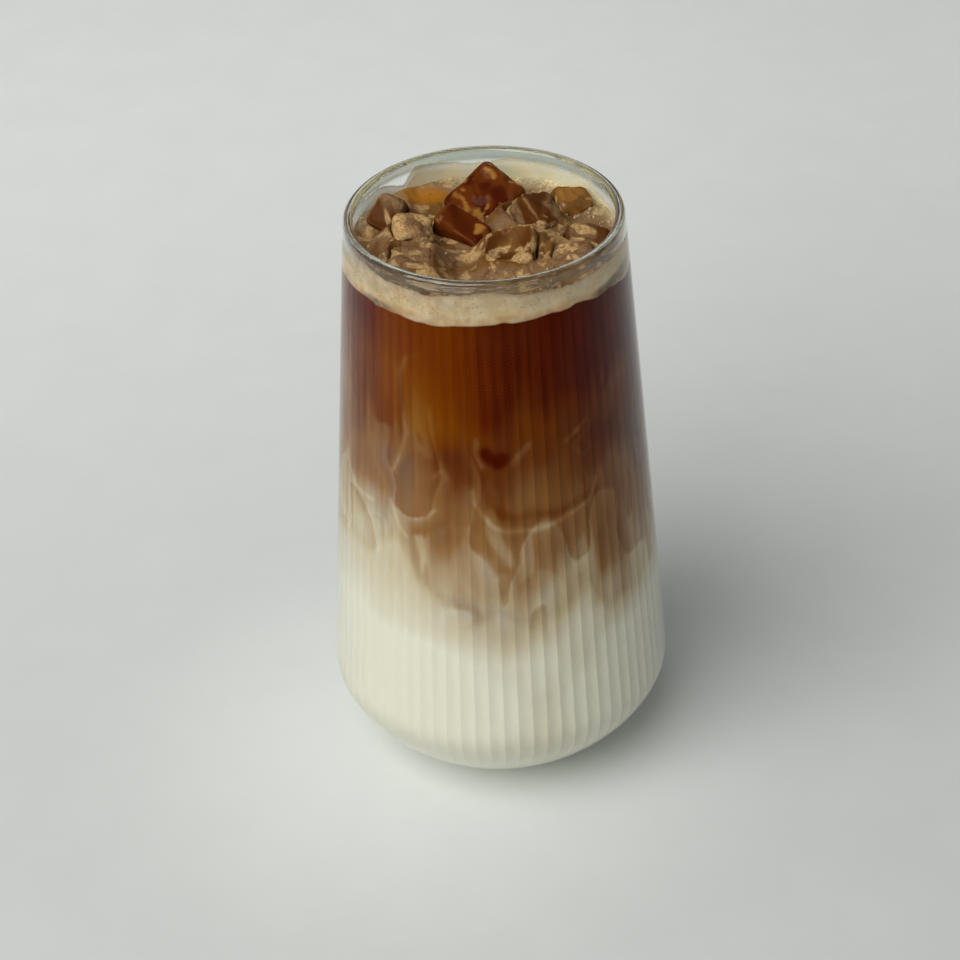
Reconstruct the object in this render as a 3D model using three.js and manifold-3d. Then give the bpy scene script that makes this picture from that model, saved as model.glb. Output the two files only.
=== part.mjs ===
// Iced latte in a tall ribbed tumbler, in millimetres, +Z up, standing on Z = 0.
// The glass widens downwards to a round belly and a small flat foot.
// Inside lie milk, a mixed layer and coffee, then a coat of foam with ice blocks standing out of it.
import * as THREE from "three";
import { mergeVertices } from "three/addons/utils/BufferGeometryUtils.js";
import Module from "manifold-3d";

const wasm = await Module();
wasm.setup();

// Glass, outside
const glassHeight = 145.6;
const rimRadius = 32;
const bellyRadius = 41;
const bellyHeight = 24.7;
const footRadius = 17.2;
const bellyHandle = 11.2;
const footHandle = 5.8;
const outerColumns = 72;

// Glass, inside: the wall carries narrow rounded ribs with sharp valleys between them
const wallThickness = 1.8;
const baseThickness = 3.2;
const rimBeadRadius = 1.15;
const beadReach = 3.5;
const ribCount = 72;
const columnsPerRib = 3;
const ribDepth = 0.4;
const ribBottomStart = 5;
const ribBottomFull = 12;
const ribTopFull = 131;
const ribTopEnd = 138;

// Drink: level heights at the wall, and the gap that each piece keeps to the next
const gap = 0.3;
const milkTop = 60;
const mixTop = 84;
const coffeeTop = 133.4;
const foamTop = 136.9;
const drinkColumns = 48;
const drinkRings = 4;
const foamRings = 6;

// The pale layers are drawn down in a tongue at the front and stand higher at the left
const tongueAngle = -92;
const tongueWidth = 24;
const tongueDepth = 13;
const tiltHeight = 5;
const tiltAngle = -150;
const lobeHeight = 2.2;
const lobeCount = 5;

// Foam mounds beside and between the ice: centre, radius and height
const foamMounds = [
  { x: 12, y: -20, radius: 5, height: 2.2 },
  { x: 15, y: -6, radius: 5, height: 2.0 },
  { x: -24, y: 2, radius: 5, height: 1.2 },
  { x: 25, y: 8, radius: 5, height: 1.2 },
];
const foamRipple = 0.35;

// Ice: melted blocks, each with its middle, its size and its turns about X, Y and Z in degrees
const iceRounding = 2.2;
const hollowRadius = 7.5;
const hollowDepth = 2;
const iceBlocks = [
  { name: "ice_back", at: [1.0, 19.7, 135.7], size: [15.2, 11.0, 14.3], turn: [-77, -25, 36] },
  { name: "ice_centre", at: [-5.3, 5.0, 137.5], size: [12.8, 7.2, 9.3], turn: [19, 24, -31] },
  { name: "ice_left_back", at: [-21.9, 13.0, 137.9], size: [9.3, 6.7, 11.4], turn: [19, -41, 49] },
  { name: "ice_left", at: [-17.3, 2.5, 136.4], size: [8.8, 8.6, 13.0], turn: [15, 13, 8] },
  { name: "ice_front_left", at: [-17.2, -9.8, 135.0], size: [10.4, 12.0, 11.2], turn: [-2, 8, -3] },
  { name: "ice_hollow", at: [6.3, -6.7, 136.2], size: [12.4, 13.0, 11.0], turn: [10, -10, -6], hollow: true },
  { name: "ice_right", at: [11.2, 7.7, 137.8], size: [9.2, 11.3, 11.4], turn: [27, 18, 40] },
  { name: "ice_right_back", at: [20.0, 14.2, 136.4], size: [9.0, 8.4, 10.4], turn: [9, 10, 21] },
  { name: "ice_far_right", at: [22.9, -1.7, 135.4], size: [11.1, 7.8, 10.0], turn: [3, 9, -9] },
  { name: "ice_front_right", at: [19.8, -11.0, 136.0], size: [10.2, 9.4, 10.2], turn: [0, -11, -12] },
];

// Turns three.js' Y-up lathe into Z-up, with the seam at angle -90 degrees
const uprightTurn = Math.PI / 2;

const wallSlope = (bellyRadius - rimRadius) / (glassHeight - bellyHeight);
const wallRun = new THREE.Vector2(wallSlope, -1).normalize();
const bottomCurve = new THREE.CubicBezierCurve(
  new THREE.Vector2(footRadius, 0),
  new THREE.Vector2(footRadius + footHandle, 0),
  new THREE.Vector2(bellyRadius, bellyHeight).addScaledVector(wallRun, bellyHandle),
  new THREE.Vector2(bellyRadius, bellyHeight),
);

const smoothstep = THREE.MathUtils.smoothstep;

// Radius of the straight wall at height z, moved inwards by depth
function wallRadius(z, depth) {
  return rimRadius + (glassHeight - z) * wallSlope - depth;
}

// Points of the round bottom from foot to belly, moved inwards by depth; the base is thicker
function bottomPoints(depth, steps) {
  const points = [];
  const extra = depth > 0 ? baseThickness - wallThickness : 0;
  for (let i = 0; i <= steps; i++) {
    const t = i / steps;
    const tangent = bottomCurve.getTangent(t);
    const inward = new THREE.Vector2(-tangent.y, tangent.x);
    points.push(bottomCurve.getPoint(t).addScaledVector(inward, depth + extra * (1 - t) ** 2));
  }
  return points;
}

function toSolid(geometry) {
  const bare = geometry.clone();
  bare.deleteAttribute("normal");
  bare.deleteAttribute("uv");
  const merged = mergeVertices(bare, 1e-4);
  return new wasm.Manifold(new wasm.Mesh({
    numProp: 3,
    vertProperties: new Float32Array(merged.attributes.position.array),
    triVerts: new Uint32Array(merged.index.array),
  }));
}

function toGeometry(solid) {
  const mesh = solid.getMesh();
  const geometry = new THREE.BufferGeometry();
  geometry.setAttribute("position", new THREE.BufferAttribute(mesh.vertProperties, 3));
  geometry.setIndex(new THREE.BufferAttribute(mesh.triVerts, 1));
  geometry.computeVertexNormals();
  return geometry;
}

// Keeps the main body when a cut leaves loose scraps
function mainBody(solid) {
  return solid.decompose().reduce((a, b) => (b.volume() > a.volume() ? b : a));
}

// A turned shape whose vertices are then moved: reshape gets the angle, radius and height of each
function turned(profile, columns, reshape) {
  const geometry = new THREE.LatheGeometry(profile, columns);
  geometry.rotateX(uprightTurn);
  const position = geometry.attributes.position;
  for (let i = 0; i < position.count; i++) {
    const x = position.getX(i);
    const y = position.getY(i);
    const angle = Math.atan2(y, x);
    const [radius, z] = reshape(angle, Math.hypot(x, y), position.getZ(i));
    position.setXYZ(i, radius * Math.cos(angle), radius * Math.sin(angle), z);
  }
  return geometry;
}

// Quarter arc from a start angle to an end angle, in degrees, round a centre
function arcPoints(centreX, centreY, radius, startDegrees, endDegrees, steps) {
  const points = [];
  for (let i = 0; i <= steps; i++) {
    const angle = THREE.MathUtils.degToRad(THREE.MathUtils.lerp(startDegrees, endDegrees, i / steps));
    points.push(new THREE.Vector2(centreX + radius * Math.cos(angle), centreY + radius * Math.sin(angle)));
  }
  return points;
}

// The full outer form of the glass, filled
function glassOutside() {
  const beadCentre = rimRadius - rimBeadRadius;
  const flatEdge = 0.2;
  const profile = [
    new THREE.Vector2(0, 0),
    ...bottomPoints(0, 8),
    ...arcPoints(beadCentre, glassHeight - rimBeadRadius, rimBeadRadius, 0, 90, 3),
    new THREE.Vector2(beadCentre - flatEdge, glassHeight),
    new THREE.Vector2(0, glassHeight),
  ];
  return toSolid(turned(profile, outerColumns, (angle, radius, z) => [radius, z]));
}

// How far the ribs stand in from the wall at a height: they run out at the foot and the rim
function ribReach(z) {
  return ribDepth * smoothstep(z, ribBottomStart, ribBottomFull) * (1 - smoothstep(z, ribTopFull, ribTopEnd));
}

// The hollow of the glass, ribbed, running out through the rim
function glassInside() {
  const beadBottom = glassHeight - rimBeadRadius;
  const beadInside = rimRadius - 2 * rimBeadRadius;
  const profile = [
    new THREE.Vector2(0, baseThickness),
    ...bottomPoints(wallThickness, 6),
    new THREE.Vector2(wallRadius(ribTopFull, wallThickness), ribTopFull),
    new THREE.Vector2(wallRadius(ribTopEnd, wallThickness), ribTopEnd),
    new THREE.Vector2(wallRadius(glassHeight - beadReach, wallThickness), glassHeight - beadReach),
    new THREE.Vector2(beadInside, beadBottom),
    new THREE.Vector2(beadInside + rimBeadRadius * 0.3, glassHeight - rimBeadRadius * 0.3),
    new THREE.Vector2(beadInside + rimBeadRadius * 0.7, glassHeight),
    new THREE.Vector2(beadInside + rimBeadRadius * 0.7, glassHeight + 2),
    new THREE.Vector2(0, glassHeight + 2),
  ];
  const lobe = (angle) => Math.abs(Math.sin(angle * ribCount / 2));
  return toSolid(turned(profile, ribCount * columnsPerRib, (angle, radius, z) => [
    radius > footRadius / 2 ? radius - ribReach(z) * lobe(angle) : radius,
    z,
  ]));
}

function buildGlass() {
  const material = new THREE.MeshStandardMaterial({
    color: 0xdfe6e0, roughness: 0.05, metalness: 0, transparent: true, opacity: 0.35,
  });
  const mesh = new THREE.Mesh(toGeometry(glassOutside().subtract(glassInside())), material);
  mesh.name = "glass";
  return mesh;
}

// A melted block: a box whose edges are pulled in to a rounding
function blockGeometry(size, rounding) {
  const geometry = new THREE.BoxGeometry(size[0], size[1], size[2], 3, 3, 3);
  const position = geometry.attributes.position;
  const point = new THREE.Vector3();
  for (let i = 0; i < position.count; i++) {
    point.fromBufferAttribute(position, i);
    const outward = new THREE.Vector3();
    const inner = new THREE.Vector3();
    for (let axis = 0; axis < 3; axis++) {
      const half = size[axis] / 2;
      const value = point.getComponent(axis);
      inner.setComponent(axis, Math.sign(value) * (half - rounding));
      outward.setComponent(axis, Math.abs(value) > half * 0.99 ? Math.sign(value) : 0);
    }
    inner.addScaledVector(outward.normalize(), rounding);
    position.setXYZ(i, inner.x, inner.y, inner.z);
  }
  return geometry;
}

// Places a mesh or a cutter at a block's middle, with its turns
function placeBlock(object, block) {
  const [x, y, z] = block.turn.map(THREE.MathUtils.degToRad);
  object.position.set(...block.at);
  object.rotation.set(x, y, z, "ZYX");
  object.updateMatrix();
  return object;
}

// The block's own shape; one of them has melted to a shallow dish on top
function iceShape(block) {
  const geometry = blockGeometry(block.size, iceRounding);
  if (!block.hollow) {
    return geometry;
  }
  const ball = new THREE.SphereGeometry(hollowRadius, 20, 14);
  ball.translate(0, 0, block.size[2] / 2 + hollowRadius - hollowDepth);
  return toGeometry(toSolid(geometry).subtract(toSolid(ball)));
}

function buildIce(block) {
  const material = new THREE.MeshStandardMaterial({ color: 0x8a5a30, roughness: 0.08, metalness: 0 });
  const mesh = placeBlock(new THREE.Mesh(iceShape(block), material), block);
  mesh.name = block.name;
  return mesh;
}

// All blocks grown by the gap, as one cutter for the drink round them
function iceCutter() {
  const grown = iceBlocks.map((block) => {
    const size = block.size.map((side) => side + 2 * gap);
    const geometry = blockGeometry(size, iceRounding + gap);
    geometry.applyMatrix4(placeBlock(new THREE.Object3D(), block).matrix);
    return toSolid(geometry);
  });
  return grown.reduce((a, b) => a.add(b));
}

const drinkDepth = wallThickness + ribDepth + gap;

// How far a layer's edge is lifted or drawn down at an angle, for a nominal height
function layerWave(angle, z) {
  const degrees = THREE.MathUtils.radToDeg(angle);
  const tongue = -tongueDepth * Math.exp(-(((degrees - tongueAngle) / tongueWidth) ** 2));
  const tilt = tiltHeight * Math.cos(THREE.MathUtils.degToRad(degrees - tiltAngle));
  const lobes = lobeHeight * Math.cos(lobeCount * angle);
  const strength = smoothstep(z, bellyHeight + 5, milkTop) * (1 - smoothstep(z, mixTop, coffeeTop - 10));
  return (tongue + tilt + lobes) * strength;
}

// Moves a layer's vertices by the wave, keeping them in proportion to the wall's radius
function waved(angle, radius, z) {
  const share = z > bellyHeight ? radius / wallRadius(z, drinkDepth) : 0;
  if (share === 0) {
    return [radius, z];
  }
  const lifted = z + layerWave(angle, z) * share;
  return [share * wallRadius(lifted, drinkDepth), lifted];
}

// Rings of a level surface, from the axis out to the wall
function levelRings(z, rings, depth) {
  const edge = wallRadius(z, depth);
  return Array.from({ length: rings + 1 }, (_, i) => new THREE.Vector2(edge * i / rings, z));
}

function drinkMesh(name, geometry, colour, roughness) {
  const material = new THREE.MeshStandardMaterial({ color: colour, roughness, metalness: 0 });
  const mesh = new THREE.Mesh(geometry, material);
  mesh.name = name;
  return mesh;
}

function buildMilk() {
  const floor = bottomPoints(drinkDepth, 6);
  const profile = [
    new THREE.Vector2(0, floor[0].y),
    ...floor,
    ...levelRings(milkTop, drinkRings, drinkDepth).reverse(),
  ];
  return drinkMesh("milk", turned(profile, drinkColumns, waved), 0xe6e2d0, 0.35);
}

function buildMix() {
  const profile = [
    ...levelRings(milkTop + gap, drinkRings, drinkDepth),
    ...levelRings(mixTop - gap, drinkRings, drinkDepth).reverse(),
  ];
  return drinkMesh("mixed_layer", turned(profile, drinkColumns, waved), 0xa87448, 0.35);
}

function buildCoffee(cutter) {
  const profile = [
    ...levelRings(mixTop, drinkRings, drinkDepth),
    new THREE.Vector2(wallRadius(coffeeTop - gap, drinkDepth), coffeeTop - gap),
    new THREE.Vector2(0, coffeeTop - gap),
  ];
  const solid = toSolid(turned(profile, drinkColumns, waved)).subtract(cutter);
  return drinkMesh("coffee", toGeometry(mainBody(solid)), 0x4a1e06, 0.3);
}

// Height of the foam's top: a rippled level with mounds over the covered ice
function foamLift(x, y) {
  const mounds = foamMounds.reduce((sum, mound) => {
    const distance = Math.hypot(x - mound.x, y - mound.y) / mound.radius;
    return sum + mound.height * Math.exp(-2 * distance ** 2);
  }, 0);
  return mounds + foamRipple * (Math.sin(x * 0.55) + Math.cos(y * 0.47 + 1));
}

function buildFoam(cutter) {
  const profile = [
    new THREE.Vector2(0, coffeeTop),
    new THREE.Vector2(wallRadius(coffeeTop, drinkDepth), coffeeTop),
    ...levelRings(foamTop, foamRings, drinkDepth).reverse(),
  ];
  const solid = toSolid(turned(profile, drinkColumns, (angle, radius, z) => {
    const onTop = z > (coffeeTop + foamTop) / 2;
    const lift = onTop ? foamLift(radius * Math.cos(angle), radius * Math.sin(angle)) : 0;
    return [radius * wallRadius(z + lift, drinkDepth) / wallRadius(z, drinkDepth), z + lift];
  })).subtract(cutter);
  return drinkMesh("foam", toGeometry(mainBody(solid)), 0xc2ab84, 0.6);
}

function buildLatte() {
  const cutter = iceCutter();
  const group = new THREE.Group();
  group.name = "iced_latte";
  group.add(buildGlass(), buildMilk(), buildMix(), buildCoffee(cutter), buildFoam(cutter));
  iceBlocks.forEach((block) => group.add(buildIce(block)));
  return group;
}

export default buildLatte();
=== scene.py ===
# Looks, light and camera of an iced latte in a ribbed glass. Lengths in the settings are millimetres.
import math
import bpy
import bmesh
import numpy as np
from mathutils import Matrix, Vector


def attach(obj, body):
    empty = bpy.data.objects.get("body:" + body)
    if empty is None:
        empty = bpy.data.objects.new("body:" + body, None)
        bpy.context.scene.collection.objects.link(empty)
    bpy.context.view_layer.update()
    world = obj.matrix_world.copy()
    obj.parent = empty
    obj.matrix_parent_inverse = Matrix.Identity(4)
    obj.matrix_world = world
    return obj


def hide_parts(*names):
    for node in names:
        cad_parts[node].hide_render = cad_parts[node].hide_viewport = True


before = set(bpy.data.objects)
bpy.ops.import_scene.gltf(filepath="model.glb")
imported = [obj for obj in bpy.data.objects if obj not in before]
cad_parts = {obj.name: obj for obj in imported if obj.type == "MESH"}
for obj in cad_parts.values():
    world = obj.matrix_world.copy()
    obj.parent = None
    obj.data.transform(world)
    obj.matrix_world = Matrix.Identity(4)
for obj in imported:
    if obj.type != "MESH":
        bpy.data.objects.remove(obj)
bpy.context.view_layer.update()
mm = 0.001


def addObject(name, data):
    made = bpy.data.objects.new(name, data)
    bpy.context.collection.objects.link(made)
    return made


# Camera: its place in millimetres and its directions
camera = {
    "place": (0.0, -592.409, 480.136),
    "right": (0.99918353, -0.01879519, -0.03576337),
    "up": (0.04011323, 0.56706345, 0.82269677),
    "ahead": (-0.00481736, 0.82345965, -0.56735439),
    "lens": 112.5,
}


def makeCamera():
    data = bpy.data.cameras.new("camera")
    data.lens = camera["lens"]
    data.sensor_width = 36
    data.clip_start = 0.02
    data.clip_end = 20
    eye = addObject("camera", data)
    turn = Matrix((camera["right"], camera["up"], [-part for part in camera["ahead"]])).transposed()
    eye.matrix_world = Matrix.Translation(Vector(camera["place"]) * mm) @ turn.to_4x4()
    bpy.context.scene.camera = eye


makeCamera()
print("camera made")


# Materials: a wrapped socket takes part in expressions, and each sum adds its Math node
class Signal:
    def __init__(self, paint, socket):
        self.paint = paint
        self.socket = socket

    def maths(self, operation, *values):
        return self.paint.node("ShaderNodeMath", {"operation": operation}, dict(enumerate(values)))

    def __add__(self, other):
        return self.maths("ADD", self, other)

    def __radd__(self, other):
        return self.maths("ADD", other, self)

    def __sub__(self, other):
        return self.maths("SUBTRACT", self, other)

    def __rsub__(self, other):
        return self.maths("SUBTRACT", other, self)

    def __mul__(self, other):
        return self.maths("MULTIPLY", self, other)

    def __rmul__(self, other):
        return self.maths("MULTIPLY", other, self)

    def most(self, other):
        return self.maths("MAXIMUM", self, other)

    def size(self):
        return self.maths("ABSOLUTE", self)


class Paint:
    def __init__(self, name, owner=None):
        self.material = owner or bpy.data.materials.new(name)
        self.material.use_nodes = True
        self.tree = self.material.node_tree
        self.tree.nodes.clear()

    # Adds a node: its settings first, then values or links by socket name or number
    def node(self, kind, settings=None, sockets=None, output=0):
        made = self.tree.nodes.new(kind)
        for name, value in (settings or {}).items():
            if name == "stops":
                self.setStops(made.color_ramp, value)
            else:
                setattr(made, name, value)
        for key, value in (sockets or {}).items():
            if isinstance(value, Signal):
                self.tree.links.new(value.socket, made.inputs[key])
            else:
                made.inputs[key].default_value = value
        return Signal(self, made.outputs[output]) if made.outputs else None

    def setStops(self, ramp, stops):
        while len(ramp.elements) < len(stops):
            ramp.elements.new(1.0)
        for element, (place, colour) in zip(ramp.elements, stops):
            element.position = place
            element.color = colour

    def place(self):
        return self.node("ShaderNodeTexCoord", output="Object")

    def attribute(self, name):
        return self.node("ShaderNodeAttribute", {"attribute_name": name}, output="Fac")

    def colours(self, name):
        return self.node("ShaderNodeAttribute", {"attribute_name": name}, output="Color")

    # Smooth step of a value between two limits
    def step(self, value, low, high):
        return self.node("ShaderNodeMapRange", {"interpolation_type": "SMOOTHSTEP"},
                         {"Value": value, "From Min": low, "From Max": high})

    def noise(self, size, detail=3.0, roughness=0.5, stretch=(1, 1, 1), warp=0.0):
        scaled = self.node("ShaderNodeMapping", None, {"Vector": self.place(), "Scale": stretch})
        return self.node("ShaderNodeTexNoise", None, {
            "Vector": scaled, "Scale": 1000.0 / size, "Detail": detail, "Roughness": roughness, "Distortion": warp})

    def cells(self, size, feature="F1", smooth=None):
        sockets = {"Vector": self.place(), "Scale": 1000.0 / size}
        if smooth is not None:
            sockets["Smoothness"] = smooth
        return self.node("ShaderNodeTexVoronoi", {"feature": feature}, sockets, output="Distance")

    def ramp(self, value, stops):
        return self.node("ShaderNodeValToRGB", {"stops": stops}, {"Fac": value}, output="Color")

    def blend(self, share, first, second):
        return self.node("ShaderNodeMix", {"data_type": "RGBA"}, {0: share, 6: first, 7: second}, output=2)

    # Lays tones over a colour, each by its share
    def layer(self, colour, *layers):
        for share, shown in layers:
            colour = self.blend(share, colour, tone(*shown))
        return colour

    def brighten(self, colour, by):
        return self.node("ShaderNodeVectorMath", {"operation": "SCALE"}, {0: colour, "Scale": by})

    # One coordinate of the place, in metres
    def along(self, way):
        return self.node("ShaderNodeSeparateXYZ", None, {"Vector": self.place()}, output=way)

    def bump(self, height, strength, distance):
        sockets = {"Height": height, "Strength": strength, "Distance": distance * mm}
        return self.node("ShaderNodeBump", None, sockets)

    def shader(self, values):
        return self.node("ShaderNodeBsdfPrincipled", None, values)

    def finish(self, surface):
        self.node("ShaderNodeOutputMaterial", None, {"Surface": surface})
        return self.material


# Display colours, 0 to 255, as light
def asLight(display):
    part = np.asarray(display, dtype=float) / 255
    return np.where(part <= 0.04045, part / 12.92, ((part + 0.055) / 1.055) ** 2.4)


def tone(red, green, blue):
    return (*(min(1.0, float(part)) for part in asLight((red, green, blue))), 1.0)


# Lets light pass clear pieces straight through, so that what is inside is lit well
def clearToLight(paint, surface, tint):
    ray = paint.node("ShaderNodeLightPath", output="Is Shadow Ray")
    bounced = paint.node("ShaderNodeLightPath", output="Is Diffuse Ray")
    through = paint.node("ShaderNodeBsdfTransparent", None, {"Color": tint})
    return paint.node("ShaderNodeMixShader", None, {0: ray.most(bounced), 1: surface, 2: through})


# Share of the way between two limits, with a soft start and end
def smoothStep(value, low, high):
    share = np.clip((value - low) / (high - low), 0, 1)
    return share * share * (3 - 2 * share)


glass = {
    "height": 145.6, "rimRadius": 32.0, "bellyRadius": 41.0, "bellyHeight": 24.7, "footRadius": 17.2,
    "bellyHandle": 11.2, "footHandle": 5.8, "wall": 1.8, "base": 3.2, "bead": 1.15, "beadReach": 3.5,
    "ribs": 72, "columnsPerRib": 8, "ribDepth": 0.4, "ribBottom": (5, 12), "ribTop": (131, 138),
    "tint": (0.955, 0.972, 0.955, 1), "rimTint": (0.64, 0.68, 0.60, 1), "shadowTint": (0.93, 0.94, 0.92, 1),
    "refraction": 1.5, "gloss": 0.02, "sheen": (0.05, 0.05, 0.05, 1),
}
columns = glass["ribs"] * glass["columnsPerRib"]
wallSlope = (glass["bellyRadius"] - glass["rimRadius"]) / (glass["height"] - glass["bellyHeight"])


def wallRadius(height, depth):
    return glass["rimRadius"] + (glass["height"] - height) * wallSlope - depth


# Point of the round bottom at a share of the way from foot to belly, moved inwards by depth
def bottomPoint(share, depth):
    run = Vector((wallSlope, -1)).normalized()
    corners = [
        Vector((glass["footRadius"], 0)),
        Vector((glass["footRadius"] + glass["footHandle"], 0)),
        Vector((glass["bellyRadius"], glass["bellyHeight"])) + run * glass["bellyHandle"],
        Vector((glass["bellyRadius"], glass["bellyHeight"])),
    ]
    rest = 1 - share
    point = (corners[0] * rest ** 3 + corners[1] * 3 * share * rest ** 2
             + corners[2] * 3 * share ** 2 * rest + corners[3] * share ** 3)
    tangent = ((corners[1] - corners[0]) * rest ** 2 + (corners[2] - corners[1]) * 2 * share * rest
               + (corners[3] - corners[2]) * share ** 2).normalized()
    extra = (glass["base"] - glass["wall"]) * rest ** 2 if depth > 0 else 0
    return point + Vector((-tangent.y, tangent.x)) * (depth + extra)


# How far the ribs stand in from the wall at a height, for a full depth
def ribReach(height, depth):
    return depth * smoothStep(height, *glass["ribBottom"]) * (1 - smoothStep(height, *glass["ribTop"]))


# Shape of one rib round the wall: 0 in the sharp valleys, 1 in the middle of a rib
def ribShape(angle):
    return np.abs(np.sin(angle * glass["ribs"] / 2))


def makeMesh(name, shape):
    mesh = bpy.data.meshes.new(name)
    shape.to_mesh(mesh)
    shape.free()
    return mesh


# Spins a profile of radius and height into a wedge, doubles the wedge until it goes all round, and closes it
def spinProfile(name, profile, steps):
    shape = bmesh.new()
    corners = [shape.verts.new((radius, 0, height)) for radius, height in profile]
    line = [shape.edges.new(pair) for pair in zip(corners, corners[1:])]
    doublings = 6
    angle = 2 * math.pi / 2 ** doublings
    bmesh.ops.spin(shape, geom=corners + line, cent=(0, 0, 0), axis=(0, 0, 1), angle=angle,
                   steps=steps // 2 ** doublings)
    for _ in range(doublings):
        copied = bmesh.ops.duplicate(shape, geom=shape.verts[:] + shape.edges[:] + shape.faces[:])["geom"]
        bmesh.ops.rotate(shape, verts=[part for part in copied if isinstance(part, bmesh.types.BMVert)],
                         cent=(0, 0, 0), matrix=Matrix.Rotation(angle, 3, "Z"))
        angle *= 2
    bmesh.ops.remove_doubles(shape, verts=shape.verts, dist=1e-4)
    bmesh.ops.recalc_face_normals(shape, faces=shape.faces)
    return makeMesh(name, shape)


def readPoints(mesh):
    points = np.empty(len(mesh.vertices) * 3)
    mesh.vertices.foreach_get("co", points)
    return points.reshape(-1, 3)


# Moves a mesh to points given in millimetres
def writePoints(mesh, points):
    mesh.vertices.foreach_set("co", (points * mm).ravel())
    mesh.update()


# Distance from the axis, and angle round it
def polar(points):
    return np.hypot(points[:, 0], points[:, 1]), np.arctan2(points[:, 1], points[:, 0])


def fromPolar(radius, angle, height):
    return np.stack([radius * np.cos(angle), radius * np.sin(angle), height], 1)


# Angle as a share of a full turn
def turnShare(angle):
    return angle / (2 * math.pi) % 1


def addValues(mesh, name, values):
    layer = mesh.attributes.new(name, "FLOAT", "POINT")
    layer.data.foreach_set("value", np.asarray(values, dtype=np.float32))


# Keeps the edges crisp whose two ends share a mark: marks are whole numbers, 0 for none
def keepCrisp(mesh, *marks):
    ends = np.empty(len(mesh.edges) * 2, dtype=np.int32)
    mesh.edges.foreach_get("vertices", ends)
    ends = ends.reshape(-1, 2)
    crisp = np.zeros(len(ends), dtype=bool)
    for mark in marks:
        crisp |= (mark[ends[:, 0]] > 0) & (mark[ends[:, 0]] == mark[ends[:, 1]])
    layer = mesh.attributes.new("sharp_edge", "BOOLEAN", "EDGE")
    layer.data.foreach_set("value", crisp)


def addPiece(name, mesh, material, nodes=()):
    piece = addObject(name, mesh)
    mesh.materials.append(material)
    mesh.polygons.foreach_set("use_smooth", [True] * len(mesh.polygons))
    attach(piece, "root")
    if nodes:
        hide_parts(*nodes)
    return piece


# Number of the valley between ribs that a point stands at, from 1, or 0 between valleys
def valleyMarks(angle):
    place = angle / (2 * math.pi) * glass["ribs"]
    nearest = np.round(place)
    return np.where(np.abs(place - nearest) < 0.02, nearest % glass["ribs"] + 1, 0).astype(int)


# Smooth random values from -1 to 1 over turns round the glass and height; they close up all round
def wrapNoise(turns, height, cells, cellHeight, seed):
    rows = 48
    table = np.random.default_rng(seed).uniform(-1, 1, (rows, cells))
    across, up = turns * cells, height / cellHeight + 100
    left, low = np.floor(across).astype(int), np.floor(up).astype(int)
    shareX, shareY = across - left, up - low
    shareX, shareY = shareX ** 2 * (3 - 2 * shareX), shareY ** 2 * (3 - 2 * shareY)
    value = lambda dx, dy: table[(low + dy) % rows, (left + dx) % cells]
    bottom = value(0, 0) * (1 - shareX) + value(1, 0) * shareX
    top = value(0, 1) * (1 - shareX) + value(1, 1) * shareX
    return bottom * (1 - shareY) + top * shareY


# The same on a flat sheet, which repeats after its width in x and after 48 cells in y
def flatNoise(x, y, cell, seed):
    width, middle = 640, 300
    return wrapNoise((x + middle) / width, y, int(width / cell), cell, seed)


# Glass: outer wall, round bead at the rim, and inner wall with its ribs
def buildGlass():
    outer = [tuple(bottomPoint(i / 20, 0)) for i in range(21)]
    outer += [(wallRadius(z, 0), z) for z in (50, 80, 110, 130, 140)]
    middle, high = glass["rimRadius"] - glass["bead"], glass["height"] - glass["bead"]
    turnsUp = [math.radians(-4 + 188 * i / 16) for i in range(17)]
    bead = [(middle + glass["bead"] * math.cos(t), high + glass["bead"] * math.sin(t)) for t in turnsUp]
    neck = []
    for i in range(1, 8):  # from the bead back to the wall
        share = i / 8
        z = high - share * (glass["beadReach"] - glass["bead"])
        inside = middle - glass["bead"]
        neck.append((inside + (wallRadius(z, glass["wall"]) - inside) * (3 * share ** 2 - 2 * share ** 3), z))
    inner = [(wallRadius(z, glass["wall"]), z) for z in
             (142.1, 140, 138, 137, 136, 135, 134, 133, 132, 131, 118, 100, 80, 60, 40)]
    inner += [tuple(bottomPoint(1 - i / 20, glass["wall"])) for i in range(21)]
    profile = [(0, 0), *outer, *bead, *neck, *inner, (0, glass["base"])]
    mesh = spinProfile("glass", profile, columns)
    points = readPoints(mesh)
    radius, angle = polar(points)
    outside = np.interp(points[:, 2], [p[1] for p in outer], [p[0] for p in outer])
    inside = (radius < outside - 1.0) & (radius > glass["footRadius"] / 2) & (points[:, 2] > 0.5)
    moved = radius - np.where(inside, ribReach(points[:, 2], glass["ribDepth"]) * ribShape(angle), 0)
    writePoints(mesh, fromPolar(moved, angle, points[:, 2]))
    keepCrisp(mesh, np.where(inside, valleyMarks(angle), 0))
    paint = Paint("clear glass")
    height = paint.along("Z")
    atRim = paint.step(height, 0.1412, 0.1430)
    atFoot = 1 - paint.step(height, 0.004, 0.012)
    tint = paint.blend(atRim, glass["tint"], glass["rimTint"])
    surface = paint.shader({
        "Base Color": tint, "Roughness": 0.0, "IOR": glass["refraction"], "Transmission Weight": 1.0,
        "Specular IOR Level": glass["gloss"], "Specular Tint": glass["sheen"],
        "Coat Weight": atRim + 0.4 * atFoot, "Coat Roughness": 0.0, "Coat IOR": 1.5})
    return addPiece("glass_ribbed", mesh, paint.finish(clearToLight(paint, surface, glass["shadowTint"])),
                    ["glass"])


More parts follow.
